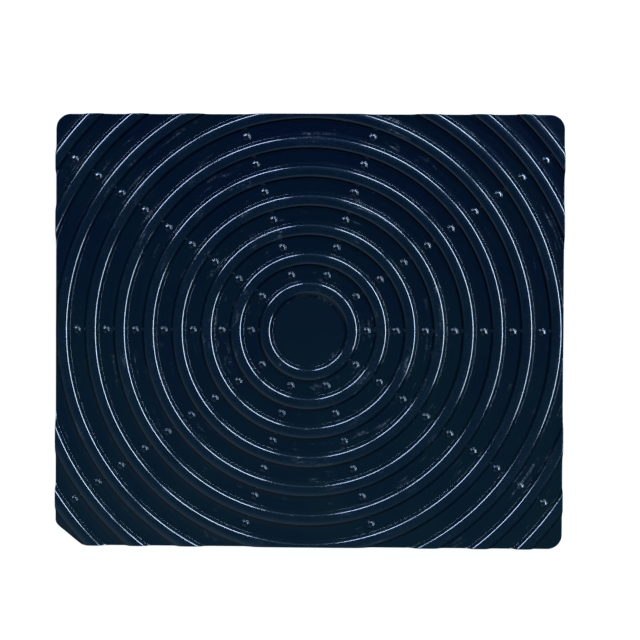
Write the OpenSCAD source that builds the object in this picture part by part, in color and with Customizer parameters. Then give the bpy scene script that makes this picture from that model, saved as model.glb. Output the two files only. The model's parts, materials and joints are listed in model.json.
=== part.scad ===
// Seedling heat mat: a thin sealed sandwich of two moulded shells around a foil heater.
// The ribbed top shell carries the seed trays. The base shell holds foam, foil, heating cable,
// a snap-action thermostat, a thermal fuse and the terminals behind a flush cord inlet.
// Origin: centre of the footprint, on the surface that the feet stand on. +Z is up,
// +X runs along the length, and the cut corner with the cord inlet is at -X, -Y.

/* [Footprint] */
// Length of the mat, along X
mat_length = 508; // [500:1:520]
// Width of the mat, along Y
mat_width = 433; // [428:1:440]
// Radius of the three plain corners
corner_r = 14; // [10:1:20]
// How far the cut corner reaches along the length
cut_x = 27; // [24:1:30]
// How far the cut corner reaches along the width
cut_y = 22; // [20:1:26]
// Radius where the cut corner meets the sides
cut_r = 9; // [6:1:12]

/* [Ridges and domes] */
// Number of concentric ridges
ridge_count = 10; // [8:1:10]
// Spacing of the ridges
ridge_pitch = 29.05; // [28.9:0.05:29.4]
// Crest radius of the innermost ridge
first_ridge_r = 43.5; // [43:0.1:44]
// How far the rings' common centre lies behind the middle of the mat
ring_offset = 0; // [-2:0.1:2]
// Height of a ridge above the valleys
ridge_h = 3.8; // [3.2:0.1:4.2]
// Width of a ridge at its foot
ridge_w = 14.8; // [14:0.2:16]
// Width of a ridge's nearly flat top, between its shoulders
ridge_top_w = 7.8; // [7:0.2:8.6]
// Number of spokes that the domes lie on
spokes = 10; // [10:10:10]
// Diameter of a dome
dome_d = 6.4; // [6:0.2:7]
// Height of a dome above its valley
dome_h = 1.7; // [1.4:0.1:2]

/* [Layers] */
// Height of the rubber feet below the base
foot_h = 1.2; // [1:0.1:2]
// Thickness of the base shell's floor
floor_t = 1.6; // [1.4:0.1:2]
// Thickness of the insulating foam
foam_t = 3.5; // [3.5:0.1:4]
// Thickness of the reflector foil
foil_t = 0.3; // [0.2:0.1:0.4]
// Diameter of the heating cable
cable_d = 2.4; // [2.2:0.1:2.6]
// Thickness of the aluminium heat spreader
spreader_t = 0.4; // [0.3:0.1:0.5]
// Thickness of the top shell
cover_t = 1.6; // [1.5:0.1:2]
// Depth of the skirt that laps over the base
skirt_h = 4.2; // [3:0.2:5]

/* [Cord inlet] */
// Bore of the rubber bushing, for a round flexible cord
cord_d = 5.8; // [5.4:0.1:6]
// Outer diameter of the bushing
bushing_d = 8; // [7.8:0.1:8.2]

/* [Rubber feet] */
// Diameter of a foot
foot_d = 18; // [14:1:22]

/* [Hidden] */
$fn = 64;
arc_steps = 10;
slack = 0.1;

base_z = foot_h;
floor_z = base_z + floor_t;
foil_z = floor_z + foam_t;
cable_gap = 0.05;
cable_bottom_z = foil_z + foil_t + cable_gap;
cable_z = cable_bottom_z + cable_d / 2;
spreader_z = cable_bottom_z + cable_d + cable_gap;
cover_z = spreader_z + spreader_t;
valley_z = cover_z + cover_t;

lip_t = 1.2;
wall_inset = 4.2;
rim_inset = 5;
seal_inset = 2.1;
seal_w = 1.2;
seal_h = 1;
foot_recess = 0.6;
foot_inset = 36;

crown_r = 30;
flank_run = (ridge_w - ridge_top_w) / (2 * ridge_h);
dome_r = (pow(dome_d / 2, 2) + pow(dome_h, 2)) / (2 * dome_h);
dome_margin = 8;
post_r = 1.5;
socket_h = 0.9;
post_hole_r = 1.8;

// The cut corner's own frame: +X points into the mat, square to the cut face.
cut_face = [(cut_x - mat_length) / 2, (cut_y - mat_width) / 2];
cut_heading = atan2(cut_x, cut_y);
ring_centre = [0, ring_offset];
inward = [cos(cut_heading), sin(cut_heading)];

cord_z = 6.1;
clamp_s = 10.3;
clamp_l = 6;
clamp_screw_y = 8;
clamp_ear_t = 2;
block_s = 22;
block_l = 14;
block_w = 22;
block_h = 6.3;
pole_gap = 7;
insert_l = 10;
lead_r = 1;
strand_r = 0.6;
pole_names = [-1, 0, 1];

// Cable route: the serpentine opens along one line, between two spokes, that faces the cut corner.
gap_az = 234;
half_gap = 180 / spokes;
left_az = gap_az - half_gap;
right_az = gap_az + half_gap;
cable_r = cable_d / 2;
exit_bend = 8;
exit_angle = asin(exit_bend / (ridge_r(0) + exit_bend));
jump_bend = 60;
joint_gap = 0.02;
collar_l = 0.6;
collar_t = 0.04;
jump_x = sqrt(pow(ridge_r(7) - jump_bend, 2) - pow(ridge_r(5) - jump_bend, 2));
jump_az = atan2(ridge_r(5) - jump_bend, jump_x);
live_end_az = 191;
left_turn_az = 128;
right_turn_az = 50;
neutral_end_r = 224;
neutral_run_y = -201;

splice_l = 10;
splice_r = 1.2;
sleeve_r = 1.55;
sleeve_l = 14;

device_x = -241;
fuse_y = -92;
fuse_l = 11;
fuse_r = 1.6;
thermostat_y = -139;
thermostat_l = 20;
thermostat_w = 7;
thermostat_h = 4;
thermostat_z = spreader_z - thermostat_h;
case_t = 0.4;
plug_l = 4;
contact_r = 1.2;
contact_h = 0.6;
contact_y = 7;
strip_t = 0.3;
strip_z = thermostat_z + 0.6;
contact_z = strip_z + strip_t;
blade_z = contact_z + 2 * contact_h;
blade_t = 0.2;
blade_w = 4;
blade_tip_y = 5.4;
blade_root_y = 18.4;

earth_s = 72;
ring_t = 0.6;
rivet_r = 1.6;

// ---------------------------------------------------------------- geometry helpers

function unit(v) = v / norm(v);
function polar(r, az) = r * [cos(az), sin(az)];
function ridge_r(k) = first_ridge_r + k * ridge_pitch;
function valley_r(k) = ridge_r(k) + ridge_pitch / 2;

// A place in the cut corner's frame, as a place in the mat's frame
function corner_xy(s, y) = cut_face + s * inward + y * [-inward.y, inward.x];

// Points of an arc of radius r that rounds the corner p, between the neighbours a and b
function rounded(a, p, b, r) =
    let (
        to_a = unit(a - p),
        to_b = unit(b - p),
        half = acos(to_a * to_b) / 2,
        centre = p + unit(to_a + to_b) * r / sin(half),
        first = p + to_a * r / tan(half) - centre,
        start = atan2(first.y, first.x),
        sweep = 180 - 2 * half
    )
    [for (i = [0 : arc_steps]) centre + polar(r, start + sweep * i / arc_steps)];

// The mat's outline moved inwards by an inset, counter-clockwise from the cut corner
function sharp_outline(inset) =
    let (
        left = inset - mat_length / 2,
        front = inset - mat_width / 2,
        cut_left = cut_face.y + (inset - inward.x * (left - cut_face.x)) / inward.y,
        cut_front = cut_face.x + (inset - inward.y * (front - cut_face.y)) / inward.x
    )
    [[left, cut_left], [cut_front, front], [-left, front], [-left, -front], [left, -front]];

function outline(inset) =
    let (
        p = sharp_outline(inset),
        n = len(p)
    )
    [for (i = [0 : n - 1])
        each rounded(p[(i + n - 1) % n], p[i], p[(i + 1) % n],
                     max(1, (i < 2 ? cut_r : corner_r) - inset))];

// Dome places: every mid-valley crossing of a spoke that lies inside the outline
dome_spots = [
    for (k = [0 : ridge_count - 1], i = [0 : spokes - 1])
        let (p = ring_centre + polar(valley_r(k), i * 360 / spokes))
        if (abs(p.x) < mat_length / 2 - dome_margin && abs(p.y) < mat_width / 2 - dome_margin) p
];

foot_spots = [
    for (x = [-1, 0, 1], y = [-1, 0, 1])
        if (x != 0 || y != 0)
            [x * (mat_length / 2 - foot_inset), y * (mat_width / 2 - foot_inset)]
];

module slab(z, h, inset) {
    translate([0, 0, z]) linear_extrude(height = h) polygon(outline(inset));
}

module at_each(spots) {
    for (p = spots) translate([p.x, p.y, 0]) children();
}

module at_cut_corner() {
    translate([cut_face.x, cut_face.y, 0]) rotate([0, 0, cut_heading]) children();
}

module at_thermostat() {
    translate([device_x, thermostat_y, 0]) children();
}

module block_at(x, y, z, size) {
    translate([x, y - size.y / 2, z]) cube(size);
}

// A round bar along local X
module bar(x, l, r) {
    translate([x, 0, 0]) rotate([0, 90, 0]) cylinder(h = l, r = r);
}

// Part of a ring of round wire, centred on the local origin
module arc_wire(radius, from, sweep, r) {
    rotate([0, 0, from]) rotate_extrude(angle = sweep) translate([radius, 0]) circle(r);
}

// A hair-thicker sleeve over the place where two stretches of wire meet end to end
module joint_collar(r) {
    rotate([90, 0, 0]) cylinder(h = collar_l, r = r + collar_t, center = true);
}

// A bend that meets its neighbours inside a collar at each end
module bend_wire(radius, from, sweep, r) {
    start = sweep < 0 ? from + sweep : from;
    gap = joint_gap / radius * 180 / PI;
    arc_wire(radius, start + gap, abs(sweep) - 2 * gap, r);
    for (az = [start, start + abs(sweep)])
        rotate([0, 0, az]) translate([radius, 0, 0]) joint_collar(r);
}

module straight_wire(a, b, r) {
    translate([a.x, a.y, 0]) rotate([0, 0, atan2(b.y - a.y, b.x - a.x)]) bar(0, norm(b - a), r);
}

// A wire through hand-laid corner points, each inner corner rounded to the bend radius
module wire(points, r, bend) {
    last = len(points) - 1;
    function step(i) = unit(points[i + 1] - points[i]);
    function turn(i) = let (a = step(i - 1), b = step(i)) atan2(a.x * b.y - a.y * b.x, a * b);
    function trim(i) = i == 0 || i == last ? 0 : bend * tan(abs(turn(i)) / 2);
    for (i = [0 : last - 1])
        straight_wire(points[i] + trim(i) * step(i), points[i + 1] - trim(i + 1) * step(i), r);
    for (i = [1 : last - 1]) {
        side = sign(turn(i));
        along = step(i - 1);
        centre = points[i] - trim(i) * along + side * bend * [-along.y, along.x];
        translate([centre.x, centre.y, 0])
            bend_wire(bend, atan2(-side * along.x, side * along.y), turn(i), r);
    }
}

// ---------------------------------------------------------------- shells and layers

// Half width of a ridge at height z above the valleys, its walls moved in by inset
function flank_x(z, inset) = ridge_w / 2 - z * flank_run - inset * norm([1, flank_run]);

// Section of a ridge, a trapezoid with a slightly crowned top
module ridge_section(inset) {
    low = -cover_t - 1;
    intersection() {
        polygon([
            [-flank_x(low, inset), low], [flank_x(low, inset), low],
            [flank_x(ridge_h, inset), ridge_h], [-flank_x(ridge_h, inset), ridge_h]
        ]);
        translate([0, ridge_h - crown_r]) circle(crown_r - inset);
    }
}

module ridge_rings(inset) {
    for (k = [0 : ridge_count - 1])
        translate([ring_centre.x, ring_centre.y, valley_z])
            rotate_extrude() translate([ridge_r(k), 0]) ridge_section(inset);
}

module bushing_hole() {
    at_cut_corner() translate([0, 0, cord_z]) bar(-2, wall_inset + 3, bushing_d / 2);
}

module top_cover() {
    color("midnightblue") difference() {
        union() {
            slab(cover_z, cover_t, 0);
            difference() {
                slab(cover_z - skirt_h, skirt_h + slack, 0);
                slab(cover_z - skirt_h - 1, skirt_h + 1, lip_t);
            }
            intersection() {
                slab(cover_z + slack, cover_t + ridge_h + 1, 0);
                union() {
                    ridge_rings(0);
                    at_each(dome_spots) translate([0, 0, valley_z + dome_h - dome_r]) sphere(dome_r);
                }
            }
        }
        intersection() {
            slab(cover_z - 1, ridge_h + 1 + slack, rim_inset);
            ridge_rings(cover_t);
        }
        at_each(dome_spots) translate([0, 0, cover_z - 1])
            cylinder(h = 1 + socket_h, r = post_r + slack);
        bushing_hole();
    }
}

module base_cover() {
    color("darkslategray") union() {
        difference() {
            slab(base_z, cover_z - base_z, lip_t + slack);
            slab(floor_z, cover_z, wall_inset);
            difference() {
                slab(cover_z - seal_h, seal_h + 1, seal_inset);
                slab(cover_z - seal_h - 1, seal_h + 3, seal_inset + seal_w);
            }
            at_each(foot_spots) translate([0, 0, base_z - 1])
                cylinder(h = 1 + foot_recess, r = foot_d / 2 + slack);
            bushing_hole();
        }
        at_each(dome_spots) translate([0, 0, floor_z - slack])
            cylinder(h = cover_z + socket_h - floor_z, r = post_r);
        at_cut_corner() cord_cradle();
    }
}

// Lower half of the cord clamp, moulded on the base floor
module cord_cradle() {
    difference() {
        union() {
            block_at(clamp_s - clamp_l / 2, 0, floor_z - slack,
                     [clamp_l, 2 * clamp_screw_y, cord_z - floor_z + slack]);
            for (y = [-clamp_screw_y, clamp_screw_y]) translate([clamp_s, y, floor_z - slack])
                cylinder(h = cord_z - floor_z + slack, r = clamp_l / 2);
        }
        translate([0, 0, cord_z]) bar(0, clamp_s + clamp_l, cord_d / 2);
        for (y = [-clamp_screw_y, clamp_screw_y]) translate([clamp_s, y, floor_z])
            cylinder(h = cord_z, r = 1.3);
    }
}

module perimeter_seal() {
    color("dimgray") difference() {
        slab(cover_z - seal_h, seal_h, seal_inset);
        slab(cover_z - seal_h - 1, seal_h + 2, seal_inset + seal_w);
        bushing_hole();
    }
}

module rubber_feet() {
    color("black") at_each(foot_spots) cylinder(h = foot_h + foot_recess, r = foot_d / 2);
}

// Room for the cord's end and the terminals
module corner_room() {
    at_cut_corner() block_at(-30, 0, floor_z - 1, [78, 50, cover_z]);
}

module splice_room() {
    for (p = [live_splice_xy(), neutral_splice_xy()])
        translate([p.x, p.y, floor_z - 1]) cylinder(h = cover_z, r = sleeve_l / 2 + 1);
}

module fuse_room() {
    translate([device_x - 4, fuse_y - fuse_l / 2 - 3, floor_z - 1]) cube([8, fuse_l + 6, cover_z]);
}

module thermostat_room() {
    at_thermostat() translate([-thermostat_w / 2 - 1, -4, floor_z - 1])
        cube([thermostat_w + 2, thermostat_l + 6, cover_z]);
}

module post_holes(z, h) {
    at_each(dome_spots) translate([0, 0, z - 1]) cylinder(h = h + 2, r = post_hole_r);
}

module insulation_foam() {
    color("lightgray") difference() {
        slab(floor_z, foam_t, rim_inset);
        post_holes(floor_z, foam_t);
        corner_room();
        splice_room();
        fuse_room();
        thermostat_room();
    }
}

module reflector_foil() {
    color("silver") difference() {
        slab(foil_z, foil_t, rim_inset + 1);
        post_holes(foil_z, foil_t);
        corner_room();
        splice_room();
        fuse_room();
        thermostat_room();
    }
}

module heat_spreader() {
    color("gainsboro") difference() {
        slab(spreader_z, spreader_t, rim_inset + 1);
        post_holes(spreader_z, spreader_t);
        corner_room();
        splice_room();
        fuse_room();
        translate([earth_xy().x, earth_xy().y, spreader_z - 1]) cylinder(h = 3, r = rivet_r);
    }
}

// ---------------------------------------------------------------- heating cable

// Half turn round the post in valley k, from ridge k to ridge k + 1. side +1 bulges
// counter-clockwise and side -1 bulges clockwise.
module half_turn(k, az, side) {
    rotate([0, 0, az]) translate([valley_r(k), 0, 0])
        bend_wire(ridge_pitch / 2, side > 0 ? 0 : 180, 180, cable_r);
}

module heating_cable() {
    color("firebrick") translate([ring_centre.x, ring_centre.y, cable_z]) {
        // left side: out along ridge 7 and back along ridge 6
        arc_wire(ridge_r(7), left_turn_az, live_end_az - left_turn_az, cable_r);
        half_turn(6, left_turn_az, -1);
        arc_wire(ridge_r(6), left_turn_az, left_az - left_turn_az, cable_r);
        half_turn(5, left_az, 1);
        // over the top of ridge 5, then across to the right side and back
        arc_wire(ridge_r(5), 90, left_az - 90, cable_r);
        translate([0, ridge_r(5), 0]) rotate([0, 0, 90]) joint_collar(cable_r);
        straight_wire([joint_gap, ridge_r(5)], [jump_x, ridge_r(5)], cable_r);
        translate([jump_x, ridge_r(5) - jump_bend, 0])
            bend_wire(jump_bend, jump_az, 90 - jump_az, cable_r);
        arc_wire(ridge_r(7), -right_turn_az, jump_az + right_turn_az, cable_r);
        half_turn(6, -right_turn_az, -1);
        arc_wire(ridge_r(6), -right_turn_az, 2 * right_turn_az, cable_r);
        half_turn(5, right_turn_az, 1);
        arc_wire(ridge_r(5), right_az - 360, 360 - right_az + right_turn_az, cable_r);
        // whole rings inwards, each turning back at the gap
        for (k = [0 : 4]) {
            if (k > 0) arc_wire(ridge_r(k), right_az, 360 - 2 * half_gap, cable_r);
            half_turn(k, k % 2 == 0 ? right_az : left_az, k % 2 == 0 ? -1 : 1);
        }
        arc_wire(ridge_r(0), right_az, 360 - half_gap - exit_angle, cable_r);
        // straight out again along the gap
        rotate([0, 0, gap_az - exit_angle]) translate([ridge_r(0) + exit_bend, 0, 0])
            bend_wire(exit_bend, 90 + exit_angle, 90 - exit_angle, cable_r);
        rotate([0, 0, gap_az])
            bar((ridge_r(0) + exit_bend) * cos(exit_angle),
                neutral_end_r - (ridge_r(0) + exit_bend) * cos(exit_angle), cable_r);
    }
}

// ---------------------------------------------------------------- cord inlet and terminals

module inlet_bushing() {
    color("black") at_cut_corner() difference() {
        union() {
            translate([0, 0, cord_z]) bar(0.2, wall_inset, bushing_d / 2 - 0.02);
            block_at(wall_inset + slack, 0, floor_z + slack, [2, 16, cover_z - floor_z - 2 * slack]);
        }
        translate([0, 0, cord_z]) bar(-1, wall_inset + 5, cord_d / 2);
    }
}

module cord_clamp() {
    arch_r = cord_d / 2 + 1.8;
    color("darkgray") at_cut_corner() difference() {
        union() {
            block_at(clamp_s - clamp_l / 2, 0, cord_z, [clamp_l, 2 * clamp_screw_y + 6, clamp_ear_t]);
            intersection() {
                translate([0, 0, cord_z]) bar(clamp_s - clamp_l / 2, clamp_l, arch_r);
                block_at(0, 0, cord_z, [clamp_s + clamp_l, 2 * arch_r, arch_r]);
            }
        }
        translate([0, 0, cord_z]) bar(0, clamp_s + clamp_l, cord_d / 2);
        for (y = [-clamp_screw_y, clamp_screw_y]) translate([clamp_s, y, cord_z - 1])
            cylinder(h = clamp_ear_t + 2, r = 1.4);
    }
}

// Pan-head screw with a cross slot, head seated at z = 0
module pan_screw(shank_r, shank_l, head_r, head_h) {
    difference() {
        union() {
            translate([0, 0, -shank_l]) cylinder(h = shank_l + slack, r = shank_r);
            cylinder(h = head_h, r1 = head_r, r2 = head_r * 0.8);
        }
        for (a = [0, 90]) rotate([0, 0, a]) block_at(-head_r * 0.5, 0, head_h - 0.8, [head_r, 0.6, 1]);
    }
}

module clamp_screws() {
    color("silver") at_cut_corner() for (y = [-clamp_screw_y, clamp_screw_y])
        translate([clamp_s, y, cord_z + clamp_ear_t]) pan_screw(1.25, 4.5, 2.4, 1.7);
}

module at_poles() {
    at_cut_corner() for (i = pole_names) translate([block_s, i * pole_gap, 0]) children();
}

module terminal_block() {
    color("ivory") difference() {
        at_cut_corner() block_at(block_s, 0, floor_z, [block_l, block_w, block_h]);
        at_poles() {
            translate([0, 0, cable_z]) bar(-1, block_l + 2, 0.8);
            block_at((block_l - insert_l) / 2, 0, cable_z - 2.4, [insert_l, 4.6, 5]);
        }
    }
}

module terminal_inserts() {
    color("goldenrod") at_poles() difference() {
        block_at((block_l - insert_l) / 2 + slack, 0, cable_z - 2.4 + slack,
                 [insert_l - 2 * slack, 4.4, 3.4]);
        translate([0, 0, cable_z]) bar(0, block_l, 0.65);
        for (x = [4.4, 9.6]) translate([x, 0, cable_z]) cylinder(h = 3, r = 1);
    }
}

module terminal_screws() {
    color("silver") at_poles() for (x = [4.4, 9.6]) translate([x, 0, cable_z + 0.65]) difference() {
        cylinder(h = 0.85, r = 0.95);
        block_at(-1, 0, 0.5, [2, 0.35, 1]);
    }
}

// ---------------------------------------------------------------- leads, splices and fuse

// Where the cable's two ends lie, and the way that they point
live_axis = [-sin(live_end_az), cos(live_end_az)];
neutral_axis = polar(1, gap_az);
live_end = ring_centre + polar(ridge_r(7), live_end_az);
neutral_end = ring_centre + polar(neutral_end_r, gap_az);

function live_splice_xy() = live_end + splice_l / 2 * live_axis;
function neutral_splice_xy() = neutral_end + splice_l / 2 * neutral_axis;
function earth_xy() = corner_xy(earth_s, 0);

// A lead's bare end, pushed into its terminal insert
module bare_end(pole) {
    at_cut_corner() translate([0, pole * pole_gap, 0]) bar(block_s + 8, block_l - 8 + slack, strand_r);
}

block_exit = block_s + block_l;

module live_lead() {
    color("saddlebrown") translate([0, 0, cable_z]) {
        wire([
            corner_xy(block_exit, pole_gap),
            corner_xy(block_exit + 14, pole_gap),
            [device_x, -152],
            [device_x, thermostat_y - 2],
        ], lead_r, 3.5);
        bare_end(1);
    }
}

module neutral_lead() {
    end = neutral_end + splice_l * neutral_axis;
    color("royalblue") translate([0, 0, cable_z]) {
        wire([
            corner_xy(block_exit, -pole_gap),
            corner_xy(block_exit + 12, -pole_gap),
            [-188, neutral_run_y],
            [end.x - (end.y - neutral_run_y) / tan(gap_az - 180), neutral_run_y],
            end,
        ], lead_r, 3);
        bare_end(-1);
    }
}

module earth_lead() {
    color("yellowgreen") translate([0, 0, cable_z]) {
        wire([corner_xy(block_exit, 0), corner_xy(earth_s - 10, 0)], lead_r, 3);
        bare_end(0);
    }
}

module earth_ring_terminal() {
    color("silver") at_cut_corner() difference() {
        union() {
            translate([earth_s, 0, spreader_z - ring_t]) cylinder(h = ring_t, r = 3.6);
            block_at(earth_s - 8, 0, spreader_z - ring_t, [6, 3, ring_t]);
            translate([0, 0, cable_z]) bar(earth_s - 10, 4, lead_r);
        }
        translate([earth_s, 0, 0]) cylinder(h = 20, r = rivet_r);
    }
}

module earth_rivet() {
    color("gray") translate([earth_xy().x, earth_xy().y, 0]) {
        translate([0, 0, spreader_z - ring_t]) cylinder(h = ring_t + spreader_t, r = rivet_r - 0.02);
        translate([0, 0, spreader_z + spreader_t]) cylinder(h = 0.9, r1 = 2.9, r2 = 1.8);
        translate([0, 0, spreader_z - ring_t - 0.7]) cylinder(h = 0.7, r = 2.4);
    }
}

module link_lead() {
    color("whitesmoke") translate([0, 0, cable_z]) straight_wire(
        [device_x, thermostat_y + thermostat_l], [device_x, fuse_y - fuse_l / 2], 0.7);
}

module thermal_fuse() {
    color("burlywood") translate([device_x, fuse_y - fuse_l / 2, cable_z]) rotate([-90, 0, 0]) {
        cylinder(h = fuse_l - 1.5, r = fuse_r);
        translate([0, 0, fuse_l - 1.5]) cylinder(h = 1.5, r1 = fuse_r, r2 = 0.8);
    }
}

module heater_lead() {
    end = live_end + splice_l * live_axis;
    color("white") translate([0, 0, cable_z]) wire([
        [device_x, fuse_y + fuse_l / 2],
        [device_x, fuse_y + fuse_l / 2 + 5],
        end + 5 * live_axis,
        end,
    ], 0.8, 3);
}

module splice(centre, heading) {
    translate([centre.x, centre.y, cable_z]) rotate([0, 0, heading]) bar(-splice_l / 2, splice_l, splice_r);
}

module live_splice() {
    color("peru") splice(live_splice_xy(), live_end_az + 90);
}

module neutral_splice() {
    color("peru") splice(neutral_splice_xy(), gap_az);
}

module sleeve(centre, heading) {
    translate([centre.x, centre.y, cable_z]) rotate([0, 0, heading]) difference() {
        bar(-sleeve_l / 2, sleeve_l, sleeve_r);
        bar(-sleeve_l / 2 - 1, sleeve_l + 2, splice_r + 0.05);
    }
}

module splice_sleeves() {
    color("black") {
        sleeve(live_splice_xy(), live_end_az + 90);
        sleeve(neutral_splice_xy(), gap_az);
    }
}

// ---------------------------------------------------------------- thermostat

module thermostat_case() {
    inner_w = thermostat_w - 2 * case_t;
    inner_h = thermostat_h - 2 * case_t;
    color("lightsteelblue") at_thermostat() difference() {
        translate([-thermostat_w / 2, 0, thermostat_z]) cube([thermostat_w, thermostat_l, thermostat_h]);
        translate([-inner_w / 2, -1, thermostat_z + case_t])
            cube([inner_w, thermostat_l + 1 - case_t, inner_h]);
    }
}

module thermostat_plug() {
    color("sienna") at_thermostat() difference() {
        translate([-3.1, 0, thermostat_z + case_t]) cube([6.2, plug_l, thermostat_h - 2 * case_t]);
        translate([-2, -1, strip_z]) cube([4, plug_l + 2, strip_t]);
    }
}

module fixed_contact_strip() {
    color("gold") at_thermostat() {
        translate([-2, -2, strip_z]) cube([4, contact_y + 4, strip_t]);
        translate([-2, -2, strip_z + strip_t]) cube([4, strip_t, cable_z + lead_r - contact_z]);
    }
}

module fixed_contact() {
    color("silver") at_thermostat() translate([0, contact_y, contact_z]) cylinder(h = contact_h, r = contact_r);
}

module moving_contact() {
    color("silver") at_thermostat()
        translate([0, contact_y, contact_z + contact_h]) cylinder(h = contact_h, r = contact_r);
}

module bimetal_blade() {
    color("darkkhaki") at_thermostat()
        translate([-blade_w / 2, blade_tip_y, blade_z]) cube([blade_w, blade_root_y - blade_tip_y, blade_t]);
}

module blade_mount() {
    depth = thermostat_l - case_t - blade_root_y - slack;
    color("gray") at_thermostat()
        translate([-blade_w / 2, blade_root_y + slack, thermostat_z + case_t])
            cube([blade_w, depth, thermostat_h - 2 * case_t]);
}

top_cover();
base_cover();
perimeter_seal();
rubber_feet();
insulation_foam();
reflector_foil();
heating_cable();
heat_spreader();
inlet_bushing();
cord_clamp();
clamp_screws();
terminal_block();
terminal_inserts();
terminal_screws();
live_lead();
neutral_lead();
earth_lead();
earth_ring_terminal();
earth_rivet();
thermostat_case();
thermostat_plug();
fixed_contact_strip();
fixed_contact();
bimetal_blade();
moving_contact();
blade_mount();
link_lead();
thermal_fuse();
heater_lead();
live_splice();
neutral_splice();
splice_sleeves();
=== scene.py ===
"""Looks of the seedling heat mat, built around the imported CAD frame. Units are metres."""
import json
import math

import bmesh
import bpy
import numpy as np
from mathutils import Matrix, Vector


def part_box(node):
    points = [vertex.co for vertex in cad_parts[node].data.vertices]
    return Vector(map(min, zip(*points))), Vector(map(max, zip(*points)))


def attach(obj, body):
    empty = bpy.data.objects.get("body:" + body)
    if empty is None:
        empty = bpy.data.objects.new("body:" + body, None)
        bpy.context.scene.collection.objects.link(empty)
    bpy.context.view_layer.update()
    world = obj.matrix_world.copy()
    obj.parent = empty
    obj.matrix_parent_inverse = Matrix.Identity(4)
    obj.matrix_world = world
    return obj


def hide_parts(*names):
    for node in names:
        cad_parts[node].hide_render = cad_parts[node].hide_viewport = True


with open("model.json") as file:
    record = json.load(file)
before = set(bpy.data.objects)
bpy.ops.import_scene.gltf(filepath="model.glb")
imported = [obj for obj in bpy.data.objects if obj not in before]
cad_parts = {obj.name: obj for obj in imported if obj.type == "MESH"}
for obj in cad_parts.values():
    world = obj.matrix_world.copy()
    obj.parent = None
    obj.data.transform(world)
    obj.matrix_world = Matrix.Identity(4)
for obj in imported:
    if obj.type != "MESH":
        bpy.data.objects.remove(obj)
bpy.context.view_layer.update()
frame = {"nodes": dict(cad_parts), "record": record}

MM = 0.001
WELD = 1e-7  # closer points count as one
MAT_BODY = "mat"

# ------------------------------------------------------------------ sizes, as in the CAD source
# (the corners are rounded a little more here)
RING_CENTRE = Vector((0.0, 0.0))
RING_PITCH = 29.05 * MM
FIRST_RIDGE_R = 43.5 * MM
RIDGE_COUNT = 10
SPOKES = 10
CORNER_R = 15 * MM
CUT_X = 27 * MM
CUT_Y = 22 * MM
CUT_R = 9 * MM
RIDGE_H = 3.8 * MM
LIP_T = 1.2 * MM
WALL_T = 3.0 * MM
DOME_MARGIN = 8 * MM
CORD_R = 2.9 * MM
CORD_Z = 6.1 * MM
BUSHING_R = 4.0 * MM

cover_low, cover_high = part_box("top_cover")

MAT_L = cover_high.x - cover_low.x
MAT_W = cover_high.y - cover_low.y
VALLEY_Z = cover_high.z - RIDGE_H
COVER_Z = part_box("heat_spreader")[1].z
SKIRT_Z = cover_low.z
BASE_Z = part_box("base_cover")[0].z
FLOOR_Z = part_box("insulation_foam")[0].z

# ------------------------------------------------------------------ outline


def rounded(a, p, b, r, steps):
    """Points of the arc of radius r that rounds corner p, between the neighbours a and b."""
    to_a, to_b = (a - p).normalized(), (b - p).normalized()
    half = math.acos(max(-1.0, min(1.0, to_a.dot(to_b)))) / 2
    centre = p + (to_a + to_b).normalized() * r / math.sin(half)
    first = p + to_a * r / math.tan(half) - centre
    start = math.atan2(first.y, first.x)
    sweep = math.pi - 2 * half
    return [
        centre + r * Vector((math.cos(start + sweep * i / steps), math.sin(start + sweep * i / steps)))
        for i in range(steps + 1)
    ]


def outline(inset, steps=14):
    """The mat's outline moved inwards, counter-clockwise from the cut corner."""
    face = Vector(((CUT_X - MAT_L) / 2, (CUT_Y - MAT_W) / 2))
    inward = Vector((CUT_Y, CUT_X)).normalized()
    left, front = inset - MAT_L / 2, inset - MAT_W / 2
    cut_left = face.y + (inset - inward.x * (left - face.x)) / inward.y
    cut_front = face.x + (inset - inward.y * (front - face.y)) / inward.x
    corners = [
        Vector((left, cut_left)),
        Vector((cut_front, front)),
        Vector((-left, front)),
        Vector((-left, -front)),
        Vector((left, -front)),
    ]
    points = []
    for i, p in enumerate(corners):
        r = max(MM, (CUT_R if i < 2 else CORNER_R) - inset)
        points += rounded(corners[i - 1], p, corners[(i + 1) % len(corners)], r, steps)
    return points


# ------------------------------------------------------------------ ridge section
# Wider on top than in the CAD source, and with rounded shoulders.

RIDGE_W = 14.8 * MM
RIDGE_TOP_W = 9.3 * MM
CROWN_R = 30 * MM
SHOULDER_R = 3.2 * MM
FOOT_R = 0.25 * MM
FLANK_ANGLE = math.atan2(RIDGE_H, (RIDGE_W - RIDGE_TOP_W) / 2)
CROWN_ANGLE = FLANK_ANGLE - math.acos(
    (RIDGE_W / 2 * math.sin(FLANK_ANGLE) - SHOULDER_R + (CROWN_R - RIDGE_H) * math.cos(FLANK_ANGLE))
    / (CROWN_R - SHOULDER_R))
CROWN_T = CROWN_R * math.sin(CROWN_ANGLE)
SHOULDER_X = (CROWN_R - SHOULDER_R) * math.sin(CROWN_ANGLE)
SHOULDER_Z = RIDGE_H - CROWN_R + (CROWN_R - SHOULDER_R) * math.cos(CROWN_ANGLE)
SHOULDER_T = SHOULDER_X + SHOULDER_R * math.sin(FLANK_ANGLE)
RIDGE_HALF_W = RIDGE_W / 2 + FOOT_R * math.tan(FLANK_ANGLE / 2)
FLANK_T = RIDGE_HALF_W - FOOT_R * math.sin(FLANK_ANGLE)


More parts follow.
